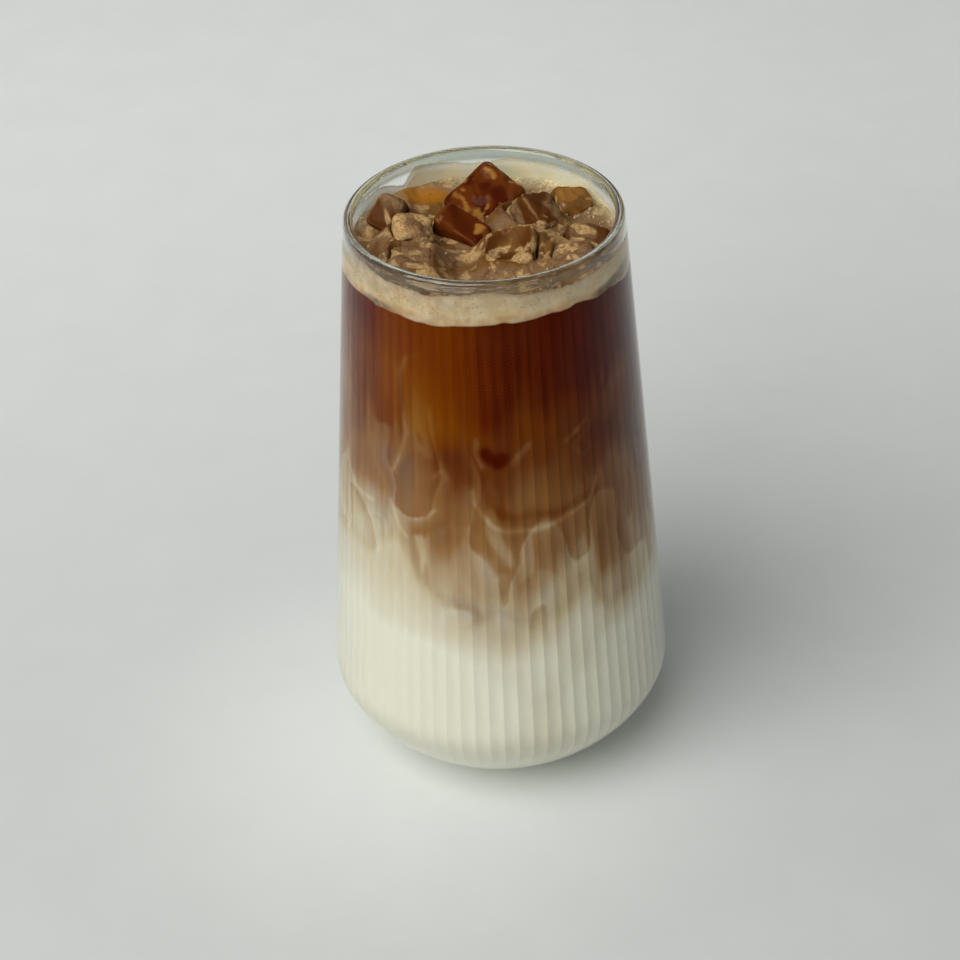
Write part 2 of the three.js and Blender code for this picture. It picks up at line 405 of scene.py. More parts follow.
# Drink: three layers with one pattern running through them
drink = {
    "reach": 0.15,  # how far the drink reaches into the wall
    "milkTop": 60.0, "mixTop": 84.0, "coffeeTop": 136.2,
    "tongueAngle": -92, "tongueWidth": 24, "tongueDepth": 13, "tiltHeight": 5, "tiltAngle": -150,
    "lobeHeight": 2.2, "lobeCount": 5,
    "rowHeight": 0.55, "meanRadius": 34.5,
    "halfShare": 0.45,  # where it is half coffee, between the two borders
    "stirBottom": (46, 62), "stirTop": (112, 130),  # where the stirring starts and stops
    "whiteFrom": 44, "coffeeFrom": (96, 110), "stillFrom": 123.4,
    "lowLid": 24, "highLid": 26,  # how far the middle of each hidden lid lies below its edge
    "ribDepth": 0.2,
}

# Borders of the layers on the wall: angle and height where the milk goes white and where the coffee begins
whiteEdge = [(-180, 64), (-162, 66), (-150, 67), (-140, 72), (-129, 73.5), (-122, 69), (-115, 64),
             (-107, 59.5), (-100, 57), (-91, 55.5), (-84, 53.5), (-77, 56), (-69, 56), (-60, 62), (-55, 60),
             (-50, 53.5), (-38, 52), (-20, 53), (0, 60), (40, 57), (80, 63), (110, 56), (140, 66), (165, 63)]
coffeeEdge = [(-180, 122), (-162, 124), (-150, 120), (-140, 116), (-129, 114), (-122, 113), (-115, 112),
              (-107, 104), (-98, 103), (-91, 99), (-84, 99), (-77, 103), (-69, 101), (-59, 104), (-51, 102),
              (-38, 109), (-20, 116), (0, 112), (40, 104), (80, 112), (110, 106), (140, 118)]

# How much paler and warmer each kind of strand is
strandKinds = {"curl": (0.13, -0.1), "thread": (0.08, -0.1), "dark": (-0.1, 0.3), "pocket": (-0.4, -0.2)}

# Curls of milk and coffee, drawn as lines: kind, half width, and path of angle and height
strands = [
    ("curl", 0.7, [(-119, 126), (-125, 124), (-128, 120), (-127, 113), (-124, 105), (-127, 98), (-130, 94)]),
    ("dark", 1.0, [(-51, 126), (-44, 123), (-39, 119), (-38, 114), (-41, 111)]),
    ("curl", 0.7, [(-51, 106), (-56, 104), (-61, 102)]),
    ("curl", 1.0, [(-96, 106), (-96, 102), (-94, 99)]),
    ("curl", 1.0, [(-83, 100), (-80, 102), (-76, 104)]),
    ("pocket", 1.5, [(-92, 102), (-91, 101), (-88, 100), (-86, 101)]),
    ("thread", 0.5, [(-58, 100), (-54, 102), (-49, 99), (-53, 97), (-58, 100)]),
    ("thread", 0.5, [(-165, 92), (-160, 87), (-152, 83), (-142, 83)]),
    ("thread", 0.5, [(-132, 86), (-130, 83), (-128, 79), (-125, 77)]),
    ("thread", 0.5, [(-121, 83), (-117, 85), (-113, 87)]),
    ("thread", 0.5, [(-114, 95), (-111, 97), (-109, 95)]),
    ("curl", 0.7, [(-98, 92), (-97, 89), (-94, 85), (-91, 83), (-87, 82), (-81, 82), (-71, 82), (-63, 83),
                   (-53, 84), (-49, 89)]),
    ("dark", 1.5, [(-90, 87), (-83, 85), (-77, 86), (-68, 84), (-60, 85), (-52, 86)]),
    ("dark", 1.5, [(-50, 74), (-51, 65), (-52, 57)]),
    ("dark", 2.0, [(-37, 73), (-38, 64), (-40, 56)]),
    ("dark", 1.0, [(-160, 111), (-157, 110), (-155, 107)]),
    ("curl", 1.0, [(60, 121), (66, 116), (68, 108), (63, 101)]),
    ("pocket", 2.0, [(88, 101), (93, 98), (98, 101)]),
    ("curl", 1.5, [(85, 104), (93, 95), (101, 103)]),
    ("curl", 1.0, [(120, 92), (126, 85), (138, 82), (150, 86)]),
    ("curl", 1.0, [(20, 96), (27, 88), (40, 84), (52, 88)]),
    ("curl", 1.0, [(156, 124), (152, 116), (155, 107)]),
    ("dark", 2.0, [(110, 70), (112, 60)]),
    ("dark", 2.0, [(70, 72), (74, 62)]),
    ("dark", 2.0, [(15, 74), (13, 62)]),
]


def edgeHeight(degrees, edge):
    knots = np.array(edge)
    return np.interp(degrees, knots[:, 0], knots[:, 1], period=360)


# Closeness to a bent line on the unrolled wall, 1 on it and falling off over its half width
def strandShare(degrees, height, path, width):
    arc = math.radians(1) * drink["meanRadius"]
    nearest = np.full(len(degrees), 1e9)
    for (startTurn, startHeight), (endTurn, endHeight) in zip(path, path[1:]):
        x = ((degrees - startTurn + 180) % 360 - 180) * arc
        y = height - startHeight
        runX, runY = (endTurn - startTurn) * arc, endHeight - startHeight
        share = np.clip((x * runX + y * runY) / (runX ** 2 + runY ** 2), 0, 1)
        nearest = np.minimum(nearest, np.hypot(x - share * runX, y - share * runY))
    return np.exp(-(nearest / width) ** 2)


# Share of the way down between two heights, with a soft start and end
def fall(height, top, bottom):
    return 1 - smoothStep(height, bottom, top)


# Closeness to the middle of a range of angles
def near(degrees, middle, width):
    return np.exp(-(((degrees - middle + 180) % 360 - 180) / width) ** 2)


# Curled sheets of milk: pale on one side of a thin edge, fading away from it; gives the sheets and the edges
def sheetPattern(turns, height, cells, cellHeight, layers, seed):
    field = layers * (wrapNoise(turns, height, cells, cellHeight, seed)
                      + 0.35 * wrapNoise(turns, height, cells * 2, cellHeight / 2, seed + 1))
    share = field - np.floor(field)
    fromEdge = np.minimum(share, 1 - share)
    return smoothStep(share, 0.0, 0.06) * (1 - share), np.exp(-(fromEdge / 0.05) ** 2)


# How milky and how warm the drink is at a place on the wall
def drinkPattern(angle, height):
    turns, degrees = turnShare(angle), np.degrees(angle)

    def noise(cells, size, seed):
        return wrapNoise(turns, height, cells, size, seed)

    def noiseIn(cells, size, seed):  # where the stirring carried it
        return wrapNoise(turnsIn, heightIn, cells, size, seed)

    stir = smoothStep(height, *drink["stirBottom"]) * (1 - smoothStep(height, *drink["stirTop"]))
    warpX = 0.008 * noise(16, 14, 1) + 0.0035 * noise(40, 6, 2)
    warpZ = 2.2 * noise(22, 11, 3) + 1.0 * noise(52, 5, 4)
    turnsIn, heightIn = turns + warpX * stir, height + warpZ * stir
    white, dark = (edgeHeight(turnsIn * 360, edge) for edge in (whiteEdge, coffeeEdge))
    half = white + drink["halfShare"] * (dark - white)
    fingers = 2.0 * noiseIn(60, 14, 5) + 0.9 * noiseIn(150, 16, 6)
    milk = (0.03 + 0.13 * fall(heightIn, dark + 14, dark - 1) + 0.30 * fall(heightIn, dark + 2, half)
            + 0.27 * fall(heightIn, half + 3, white + 3) + 0.10 * fall(heightIn + fingers, white + 3, white - 2)
            + 0.17 * fall(height, white + 1, drink["whiteFrom"]))
    band = smoothStep(heightIn, white - 6, white + 4) * (1 - smoothStep(heightIn, dark - 6, dark + 10))
    sheets, edges = sheetPattern(turnsIn + 0.006 * noise(30, 9, 7), heightIn, 24, 19, 1.1, 8)
    thin, thinEdges = sheetPattern(turnsIn, heightIn + 2 * fingers, 36, 15, 0.8, 12)
    milk += band * (0.14 * (sheets - 0.5) + 0.045 * edges + 0.05 * (thin - 0.5) + 0.03 * thinEdges - 0.02)
    streaks = noise(260, 16, 15) + noise(420, 24, 16)
    coffee = smoothStep(height, *drink["coffeeFrom"])
    milk += 0.02 * streaks * coffee + 0.018 * streaks * band
    # Painted reflection: the rib lines on the coffee are painted paler, and less warm, at the glass's sides and
    # back
    ribs = 0.5 + 0.5 * np.cos(glass["ribs"] * angle)
    ribs = ribs * (near(degrees, -18, 32) + 0.6 * near(degrees, -172, 24) + 0.5 * near(degrees, 90, 60)) * coffee
    milk += 0.07 * ribs
    # Painted light and shade of the ribs on the lit left side
    milk += 0.05 * (np.cos(glass["ribs"] * angle) - 0.2) * near(degrees, -145, 38) * (0.35 + 0.65 * coffee)
    # Painted light: the coffee is painted warmer amber and paler on the left, where the window light shines through
    # it
    left = near(degrees, -123, 22)
    warm = 0.25 * noiseIn(26, 10, 10) + 0.2 * noiseIn(64, 8, 11)
    warm += 0.85 * left * coffee + 0.12 * streaks * coffee + 0.55 * near(degrees, -70, 24) * near(height, 93, 12)
    warm += 0.45 * near(degrees, 30, 30) * coffee + 0.4 * near(degrees, 120, 30) * near(height, 90, 14)
    warm -= 0.25 * band * sheets + 0.08 * ribs
    # Painted light: paler coffee on the lit left side and at its far left edge
    milk += 0.08 * left * coffee + 0.06 * near(degrees, -168, 12) * coffee
    bentDegrees, bentHeight = degrees + 0.4 * 360 * warpX * stir, height + 0.3 * warpZ * stir
    milk += 0.07 * noise(9, 26, 71) + 0.06 * noiseIn(24, 11, 72)
    warm += 0.2 * noise(8, 30, 73) + 0.3 * coffee  # dark coffee stays warm
    for kind, width, path in strands:
        share = strandShare(bentDegrees, bentHeight, path, width)
        paler, warmer = strandKinds[kind]
        milk += paler * share
        warm = warm * (1 - 0.7 * share) + warmer * share
    return np.clip(milk, 0, 1), np.clip(warm, -1, 1)


def layerWave(angle, height):
    degrees = np.degrees(angle)
    tongue = -drink["tongueDepth"] * np.exp(-((degrees - drink["tongueAngle"]) / drink["tongueWidth"]) ** 2)
    tilt = drink["tiltHeight"] * np.cos(np.radians(degrees - drink["tiltAngle"]))
    lobes = drink["lobeHeight"] * np.cos(drink["lobeCount"] * angle)
    strength = (smoothStep(height, glass["bellyHeight"] + 5, drink["milkTop"])
                * (1 - smoothStep(height, drink["mixTop"], drink["stillFrom"])))
    return (tongue + tilt + lobes) * strength


# Radius of what fills the glass: it reaches into the wall, and its ribs are shallower than the wall's
def innerRadius(angle, height, reach):
    return wallRadius(height, glass["wall"]) - ribReach(height, drink["ribDepth"]) * ribShape(angle) + reach


# One layer: a drum of rows between two nominal heights, closed by a hidden hollow lid at each end
def buildLayer(name, node, material, low, high):
    rows = round((high - low) / drink["rowHeight"])
    profile = [(0, -1), *[(1, row) for row in range(rows + 1)], (0, rows + 1)]
    mesh = spinProfile(name, profile, columns)
    points = readPoints(mesh)
    spun, angle = polar(points)
    onWall = spun > 0.5
    row = points[:, 2]
    start = low + layerWave(angle, np.float64(low))
    end = high + layerWave(angle, np.float64(high))
    height = start + (end - start) * np.clip(row / rows, 0, 1)
    radius = innerRadius(angle, height, drink["reach"])
    lids = np.where(row < 0, low - drink["lowLid"], high - drink["highLid"])
    points = fromPolar(np.where(onWall, radius, 0), angle, np.where(onWall, height, lids))
    return finishLayer(name, node, material, mesh, points, onWall, angle, (row == 0) | (row == rows))


# Moves a layer's mesh to its points and gives it the pattern; crisp in the valleys and at its ends
def finishLayer(name, node, material, mesh, points, onWall, angle, atEnd):
    writePoints(mesh, points)
    milk, warm = drinkPattern(angle, points[:, 2])
    addValues(mesh, "milkShare", np.where(onWall, milk, 0.5))
    addValues(mesh, "warmth", np.where(onWall, warm, 0))
    keepCrisp(mesh, np.where(onWall, valleyMarks(angle), 0), np.where(onWall & atEnd, points[:, 2] // 1e3 + 1, 0))
    return addPiece(name, mesh, material, [node])


# Milk: a bowl from the glass's floor up to its waved edge
def buildMilk(material):
    floor = [tuple(bottomPoint(i / 14, glass["wall"] - drink["reach"])) for i in range(15)]
    walls = [tuple((wallRadius(z, glass["wall"] - drink["reach"]), z)) for z in np.arange(26, 60.5, 0.85)]
    profile = [(0, floor[0][1]), (8, floor[0][1]), *floor, *walls, (0, 36)]
    mesh = spinProfile("milk_layer", profile, columns)
    points = readPoints(mesh)
    (radius, angle), height = polar(points), points[:, 2]
    onWall = radius > glass["footRadius"] * 0.9
    topRow = height > walls[-1][1] - 0.01
    stretch = smoothStep(height, glass["bellyHeight"] + 3, walls[-1][1])
    lifted = height + (drink["milkTop"] - walls[-1][1] + layerWave(angle, np.float64(drink["milkTop"]))) * stretch
    straight = innerRadius(angle, lifted, drink["reach"])
    ribbed = radius - ribReach(height, drink["ribDepth"]) * ribShape(angle)
    moved = np.where(onWall, np.where(height > glass["bellyHeight"], straight, ribbed), radius)
    points = fromPolar(moved, angle, np.where(onWall, lifted, height))
    return finishLayer("milk_layer", "milk", material, mesh, points, onWall, angle, topRow)


drinkColours = {
    "plain": [(0.0, (70, 10, 0)), (0.25, (100, 50, 15)), (0.5, (140, 100, 60)), (0.75, (190, 172, 140)),
              (1.0, (225, 222, 206))],
    "amber": (20, 10, -10, -12), "grey": (-30, 5, 5, 28),  # red, green and blue added when dark; blue added halfway
    # painted light: how much brighter the drink is painted near the glass's floor
    "paintedBottomLight": 0.25,
}


# Stops of a ramp from coffee to milk, in one kind of tone
def drinkStops(kind):
    red, green, blue, blueHalfway = (0, 0, 0, 0) if kind == "plain" else drinkColours[kind]
    stops = []
    for place, colour in drinkColours["plain"]:
        dark, halfway = 1 - place, 4 * place * (1 - place)
        added = (red * dark, green * dark, blue * dark + blueHalfway * halfway)
        shown = [max(part + more, 0) for part, more in zip(colour, added)]
        stops.append((place, tone(*shown)))
    return stops


def drinkMaterial():
    paint = Paint("milk and coffee")
    fine = paint.noise(1.6, 4, 0.6, (1, 1, 0.35)) - 0.5
    milk = paint.attribute("milkShare") + fine * 0.07
    warm = paint.attribute("warmth")
    colours = [paint.ramp(milk, drinkStops(kind)) for kind in ("plain", "amber", "grey")]
    colour = paint.blend(paint.step(warm, 0.1, 0.9), colours[0], colours[1])
    colour = paint.blend(paint.step(0 - warm, 0.1, 0.9), colour, colours[2])
    grain = paint.noise(0.8, 2, 0.5)
    # Painted light: the lowest 2 cm of the drink are painted brighter
    height = paint.along("Z")
    bottomLight = 1 + (1 - paint.step(height, 0.002, 0.022)) * drinkColours["paintedBottomLight"]
    colour = paint.brighten(colour, bottomLight)
    surface = paint.shader({
        "Base Color": colour, "Roughness": 0.35, "Specular IOR Level": 0.0,
        "Normal": paint.bump(grain, 0.12, 0.05)})
    return paint.finish(surface)


# Tones of the ice and the foam: display colour and how frothy each is
tones = {
    "cream": (210, 180, 130, 1.0), "froth": (190, 155, 105, 1.0), "sand": (160, 125, 85, 0.7),
    "tan": (130, 100, 70, 0.8), "loam": (115, 80, 40, 0.5), "bark": (90, 50, 20, 0.3), "honey": (160, 110, 50, 0.3),
    "amber": (160, 100, 10, 0.1), "rust": (100, 45, 10, 0.0), "wine": (70, 20, 5, 0.0),
}


def toneValue(name):
    return np.array([*tone(*tones[name][:3])[:3], tones[name][3]])


# Mixes two tones, or rows of them, by a share for each row
def mixTones(first, second, share):
    return first + share[:, None] * (second - first)


# Colours and froth of points: two ground tones in patches, froth gathered over them and deep veins between
def paintPoints(points, ground, light, deep, frothy, seed):
    across, along = points[:, 0] + 0.5 * points[:, 2], points[:, 1] - 0.7 * points[:, 2]
    across = across + 0.8 * flatNoise(along, across, 2.6, seed)
    along = along + 0.8 * flatNoise(across, along, 2.6, seed + 1)
    painted = mixTones(toneValue(ground[0]), toneValue(ground[1]),
                       smoothStep(flatNoise(across, along, 3.2, seed + 4), -0.35, 0.35))
    gathered = flatNoise(across, along, 2.3, seed + 5) + 0.5 * flatNoise(across, along, 0.9, seed + 6)
    painted = mixTones(painted, toneValue(light), 0.9 * smoothStep(gathered, 0.5 - frothy, 0.85 - frothy))
    veins = np.exp(-(flatNoise(across, along, 4.4, seed + 7) / 0.1) ** 2)
    return mixTones(painted, toneValue(deep), 0.75 * veins * smoothStep(-gathered, -0.2, 0.3))


def addColours(mesh, name, values):
    layer = mesh.attributes.new(name, "FLOAT_COLOR", "POINT")
    layer.data.foreach_set("color", np.column_stack([values, np.ones(len(values))]).astype(np.float32).ravel())


# Colours and froth, as paintPoints gives them
def addPaint(mesh, painted):
    addColours(mesh, "painted", painted[:, :3])
    addValues(mesh, "froth", painted[:, 3])


# Ice: blocks with their middles, sizes and turns in degrees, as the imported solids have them
ice = {
    "rounding": 2.2, "cuts": 34, "hollowRadius": 7.5, "hollowDepth": 2.6, "hollowBand": 3,
    "swell": 0.2, "highest": 145.45, "dish": 0.35, "refraction": 1.31,
}
usualLook = ("froth", "bark", 0.4)  # tone of its froth, tone of its deep veins, and how frothy a block is
iceKeys = ("name", "at", "size", "turn", "climb", "lumps", "painted", "ground", "edge", "look", "hollow")
iceRows = [
    ("ice_back", (1.0, 19.7, 135.7), (15.2, 11.0, 14.3), (-77, -25, 36), (0.9, 1.0), (0.4, 0.14), 0.95,
     ("wine", "rust"), ("loam", 0.35), ("honey", "wine", 0.12)),
    ("ice_centre", (-5.3, 5.0, 137.5), (12.8, 7.2, 9.3), (19, 24, -31), (1.0, 0.9), (0.4, 0.14), 0.96,
     ("rust", "wine"), ("honey", 0.15), ("honey", "wine", 0.14)),
    ("ice_left_back", (-21.9, 13.0, 137.9), (9.3, 6.7, 11.4), (19, -41, 49), (1.6, 1.4), (0.6, 0.25), 0.9,
     ("tan", "bark"), ("sand", 0.3), usualLook),
    ("ice_left", (-17.3, 2.5, 136.4), (8.8, 8.6, 13.0), (15, 13, 8), (3.6, 2.2), (0.7, 0.4), 0.9,
     ("tan", "sand"), ("cream", 0.25), usualLook),
    ("ice_front_left", (-17.2, -9.8, 135.0), (10.4, 12.0, 11.2), (-2, 8, -3), (4.6, 2.6), (0.8, 0.45), 1.0,
     ("tan", "tan"), ("tan", 0.3), usualLook),
    ("ice_hollow", (6.3, -6.7, 136.2), (12.4, 13.0, 11.0), (10, -10, -6), (3.8, 3.0), (0.5, 0.25), 0.94,
     ("bark", "loam"), ("froth", 0.4), usualLook, True),
    ("ice_right", (11.2, 7.7, 137.8), (9.2, 11.3, 11.4), (27, 18, 40), (4.8, 3.6), (0.6, 0.35), 0.92,
     ("tan", "bark"), ("froth", 0.3), usualLook),
    ("ice_right_back", (20.0, 14.2, 136.4), (9.0, 8.4, 10.4), (9, 10, 21), (1.8, 1.5), (0.5, 0.2), 0.94,
     ("loam", "honey"), ("honey", 0.15), ("froth", "rust", 0.3)),
    ("ice_far_right", (22.9, -1.7, 135.4), (11.1, 7.8, 10.0), (3, 9, -9), (2.8, 1.8), (0.6, 0.35), 0.92,
     ("tan", "bark"), ("bark", 0.4), usualLook),
    ("ice_front_right", (19.8, -11.0, 136.0), (10.2, 9.4, 10.2), (0, -11, -12), (4.4, 2.4), (0.8, 0.45), 1.0,
     ("tan", "tan"), ("tan", 0.3), usualLook),
]
iceBlocks = [dict(zip(iceKeys, row)) for row in iceRows]


def blockTurn(block):
    x, y, z = (math.radians(part) for part in block["turn"])
    return np.array(Matrix.Rotation(z, 3, "Z") @ Matrix.Rotation(y, 3, "Y") @ Matrix.Rotation(x, 3, "X"))


# Distance of points to a rounded block's skin, below 0 inside
def blockDistance(points, block):
    local = (points - np.array(block["at"])) @ blockTurn(block)
    away = np.abs(local) - (np.array(block["size"]) / 2 - ice["rounding"])
    return (np.linalg.norm(np.maximum(away, 0), axis=1) + np.minimum(away.max(1), 0)) - ice["rounding"]


def buildIce(block, material):
    shape = bmesh.new()
    bmesh.ops.create_cube(shape, size=2)
    bmesh.ops.subdivide_edges(shape, edges=shape.edges, cuts=ice["cuts"], use_grid_fill=True)
    mesh = makeMesh(block["name"], shape)
    half = np.array(block["size"]) / 2
    grid = readPoints(mesh) * half
    core = np.clip(grid, -(half - ice["rounding"]), half - ice["rounding"])
    away = grid - core
    outward = away / np.linalg.norm(away, axis=1)[:, None]
    seed = sum(ord(letter) for letter in block["name"])
    wear = flatNoise(grid[:, 0] + grid[:, 2] * 0.7, grid[:, 1] - grid[:, 2] * 0.6, 5.0, seed)
    fineWear = flatNoise(grid[:, 0] - grid[:, 2] * 0.8, grid[:, 1] + grid[:, 2] * 0.9, 1.9, seed + 1)
    edges = np.sort(np.abs(grid) / half, axis=1)
    hollowing = ice["dish"] * (1 - smoothStep(edges[:, 1], 0.3, 0.9))  # faces melt a little hollow
    melt = block["lumps"][0] * (wear - 0.3) + block["lumps"][1] * fineWear
    local = core + outward * (ice["rounding"] + ice["swell"] - hollowing + melt)[:, None]
    skin = local @ blockTurn(block).T + np.array(block["at"])
    if block.get("hollow"):
        ball = np.array([0, 0, half[2] + ice["hollowRadius"] - ice["hollowDepth"]])
        reach = np.linalg.norm(local - ball, axis=1)
        scoop = (local[:, 2] > half[2] - ice["hollowBand"]) & (reach < ice["hollowRadius"])
        local[:, 2] = np.where(scoop, ball[2] - np.sqrt(np.maximum(
            ice["hollowRadius"] ** 2 - local[:, 0] ** 2 - local[:, 1] ** 2, 0)), local[:, 2])
    points = local @ blockTurn(block).T + np.array(block["at"])
    points[:, 2] = np.minimum(points[:, 2], ice["highest"])
    writePoints(mesh, points)
    painted = paintPoints(skin, block["ground"], *block["look"], seed)
    edgeTone, edgeShare = block["edge"]  # the melted edges catch froth
    ridge = edgeShare * smoothStep(edges[:, 1] + 0.1 * fineWear, 0.84, 0.98)
    painted = mixTones(painted, toneValue(edgeTone), ridge)
    addPaint(mesh, painted)
    glint = smoothStep(fineWear + 0.5 * wear, 0.35, 0.8) * smoothStep(edges[:, 1], 0.55, 0.9)  # wet only in places
    addValues(mesh, "wet", 0.8 * glint * (1 - 0.5 * painted[:, 3]))
    addValues(mesh, "cover", np.clip(block["painted"] + 0.35 * (painted[:, 3] - 0.4), 0, 1))
    return addPiece(block["name"] + "_clear", mesh, material, [block["name"]])


# Wrinkles and fine bubbles that froth has: thin dark lines, specks and a height for the bump
def frothPattern(paint, froth):
    folds = paint.noise(2.0, 4, 0.6, warp=1.4) - 0.5
    lines = 1 - paint.step(folds.size(), 0.0, 0.05)
    fine = paint.noise(0.8, 4, 0.65)
    bubble = paint.cells(0.5)
    marks = froth * (lines * 0.7 + paint.step(fine, 0.5, 0.8) * 0.35 + (1 - paint.step(bubble, 0.02, 0.12)) * 0.4)
    height = folds.size() * froth * 1.2 + fine * (0.15 + 0.5 * froth) + bubble * froth * 0.5
    return marks, height


def iceMaterial():
    paint = Paint("wet ice")
    froth = paint.attribute("froth")
    marks, height = frothPattern(paint, froth)
    colour = paint.blend(marks, paint.colours("painted"), tone(72, 44, 22))
    melt = paint.noise(2.0, 2, 0.5)
    clear = paint.shader({
        "Base Color": paint.blend(0.25, paint.colours("painted"), tone(255, 226, 190)), "Roughness": 0.03,
        "IOR": ice["refraction"], "Transmission Weight": 1.0, "Normal": paint.bump(melt, 0.3, 0.2)})
    cloudy = paint.shader({
        "Base Color": colour, "Roughness": 0.5, "Specular IOR Level": 0.0,
        "Coat Weight": paint.attribute("wet"), "Coat Roughness": 0.06,
        "Normal": paint.bump(height + melt * 0.6, 0.55, 0.25)})
    lit = clearToLight(paint, clear, (0.85, 0.75, 0.62, 1))
    return paint.finish(paint.node("ShaderNodeMixShader", None, {0: paint.attribute("cover"), 1: lit, 2: cloudy}))


# Foam: its top round the ice, and the band that shows through the wall
foam = {
    "level": 136.0, "ripple": 0.25, "rings": 86, "sideRows": 9, "reach": 0.26,
    "mounds": [(12, -20, 5, 2.2), (15, -6, 5, 1.6), (-24, 2, 5, 1.2), (25, 8, 5, 1.2), (-26, 12, 5, 0.9)],
    "wallRise": 2.0, "wallRiseWidth": 2.2, "pocketDepth": 7.0, "grain": 0.16,
    "radius": 31, "lidHeight": 110, "edgeRise": 1.2, "crowding": 0.85,
    "pool": (-13.5, 24.5, 6.5, 3.4),  # coffee over the foam at the back left: middle and half widths
}
foamLowEdge = [(-180, 133.4), (-162, 134.5), (-157, 134.6), (-146, 134.6), (-129, 134.7), (-114, 133.9),
               (-97, 134.7), (-89, 135.1), (-79, 134.8), (-59, 135.3), (-52, 135.6), (-42, 134.5),
               (-31, 134.2), (-17, 132.3), (0, 132.6), (15, 133.4), (50, 132.8), (90, 133.6), (130, 132.9)]

# Tones of the foam and the milk film at the wall
wallTones = {"front": (185, 160, 120), "right": (210, 185, 145), "back": (235, 225, 185), "gap": (70, 45, 25)}


# Colour at the wall as light, with drifting patches, deeper towards the band's lower edge
def wallColour(angle, height):
    turns, degrees = turnShare(angle), np.degrees(angle)
    front, right, back, gap = (np.array(wallTones[key], dtype=float) for key in ("front", "right", "back", "gap"))
    display = mixTones(mixTones(front, right, near(degrees, -35, 35)), back, smoothStep(np.sin(angle), -0.1, 0.6))
    drift = 0.07 * wrapNoise(turns, height, 46, 3.2, 61) + 0.05 * wrapNoise(turns, height, 130, 1.3, 62)
    warm = 0.05 * wrapNoise(turns, height, 60, 2.4, 63)
    colour = asLight(display) * (1 + drift)[:, None] * (1 + warm[:, None] * (1.0, -0.2, -2.2))
    overEdge = height - edgeHeight(degrees, foamLowEdge) - 0.7 * wrapNoise(turns, height, 60, 3, 64)
    low = smoothStep(2.4 - overEdge, 0, 1.6)
    colour = colour * (1 - low[:, None] * (0.14, 0.28, 0.40))
    gaps = smoothStep(wrapNoise(turns, height, 20, 4.5, 65), 0.5, 0.8) * smoothStep(-np.sin(angle), 0.0, 0.5)
    return mixTones(colour, np.array(tone(*gap)[:3]), 0.8 * gaps)


# Height of the foam's lower edge on the wall
def foamLow(angle):
    drift = wrapNoise(turnShare(angle), 0 * angle, 90, 5, 43)
    return edgeHeight(np.degrees(angle), foamLowEdge) + 0.3 * drift


def foamHeight(x, y):
    lift = sum(high * np.exp(-2 * ((x - mx) ** 2 + (y - my) ** 2) / radius ** 2)
               for mx, my, radius, high in foam["mounds"])
    lift += foam["ripple"] * (np.sin(x * 0.55) + np.cos(y * 0.47 + 1))
    lift += foam["grain"] * (flatNoise(x, y, 2.2, 41) + 0.6 * flatNoise(x, y, 0.9, 42))
    level = foam["level"] + lift
    toWall = innerRadius(np.arctan2(y, x), level, 0) - np.hypot(x, y)
    level = level + foam["wallRise"] * np.exp(-np.maximum(toWall, 0) / foam["wallRiseWidth"])
    points = np.stack([x, y, level], 1)
    away = [blockDistance(points, block) for block in iceBlocks]
    nearest = np.min(away, axis=0)
    level = level + np.max([block["climb"][0] * np.exp(-(np.maximum(reach, 0) / block["climb"][1]) ** 1.4)
                            for reach, block in zip(away, iceBlocks)], axis=0)
    level = level - foam["pocketDepth"] * smoothStep(-nearest, 0.25, 1.6)
    return level, nearest


def buildFoam(material):
    rings, side = foam["rings"], foam["sideRows"]
    profile = [(0, 0), *[(ring, 0) for ring in range(1, rings + 1)], *[(rings, -row) for row in range(1, side + 1)],
               (0, -side - 1)]
    mesh = spinProfile("foam_top", profile, columns)
    points = readPoints(mesh)
    (step, angle), row = polar(points), -points[:, 2]
    edge = innerRadius(angle, np.float64(foam["level"] + foam["edgeRise"]), foam["reach"])
    share = (step / rings) ** foam["crowding"]  # rings a little closer together at the wall
    x, y = share * edge * np.cos(angle), share * edge * np.sin(angle)
    top, nearest = foamHeight(x, y)
    low = foamLow(angle)
    onSide = (row > 0.5) & (step > 0.5)
    height = np.where(onSide, top + (low - top) * np.clip(row / side, 0, 1), top)
    height = np.where(row > side + 0.5, foam["lidHeight"], height)
    radius = np.where(onSide | (step > rings - 0.5), innerRadius(angle, height, foam["reach"]), share * edge)
    points = fromPolar(radius, angle, height)
    writePoints(mesh, points)
    painted = paintFoam(points, nearest, angle, np.where(onSide, np.clip(row / side, 0, 1), 0))
    addPaint(mesh, painted)
    addValues(mesh, "side", onSide * 1.0)
    addValues(mesh, "deep", np.clip(row / side, 0, 1))
    return addPiece("foam_top", mesh, material, ["foam"])


# Tan foam, in the wall's colours beside it, with a pool of coffee, and dark and wet where it meets the ice
def paintFoam(points, nearest, angle, deep):
    painted = paintPoints(points * (1, 1, 0), ("tan", "loam"), "froth", "bark", 0.3, 44)
    poolX, poolY, across, back = foam["pool"]
    pool = np.exp(-(((points[:, 0] - poolX) / across) ** 2 + ((points[:, 1] - poolY) / back) ** 2) ** 2)
    painted = mixTones(painted, toneValue("amber"), 0.9 * pool)
    toWall = foam["radius"] - polar(points)[0]
    wall = np.column_stack([wallColour(angle, points[:, 2]), np.ones(len(points))])
    degrees = np.degrees(angle)
    behind = smoothStep(np.sin(angle), -0.2, 0.5)
    behind = behind * (1 - 0.95 * near(degrees, 128, 26)) * (1 - 0.7 * near(degrees, 168, 24))
    rim = (0.35 + 0.5 * behind) * np.exp(-np.maximum(toWall, 0) / (1.2 + 1.6 * behind))
    rim = rim * (1 - 0.85 * near(degrees, 122, 17))
    wet = 1 - 0.7 * painted[:, 3]
    contact = 0.6 * wet * np.exp(-(nearest / 0.4) ** 2) + smoothStep(-nearest, 0.6, 1.6)
    painted = mixTones(painted, wall, rim)
    painted = mixTones(painted, toneValue("wine"), contact.clip(0, 1))
    return np.where(deep[:, None] > 0, wall, painted)


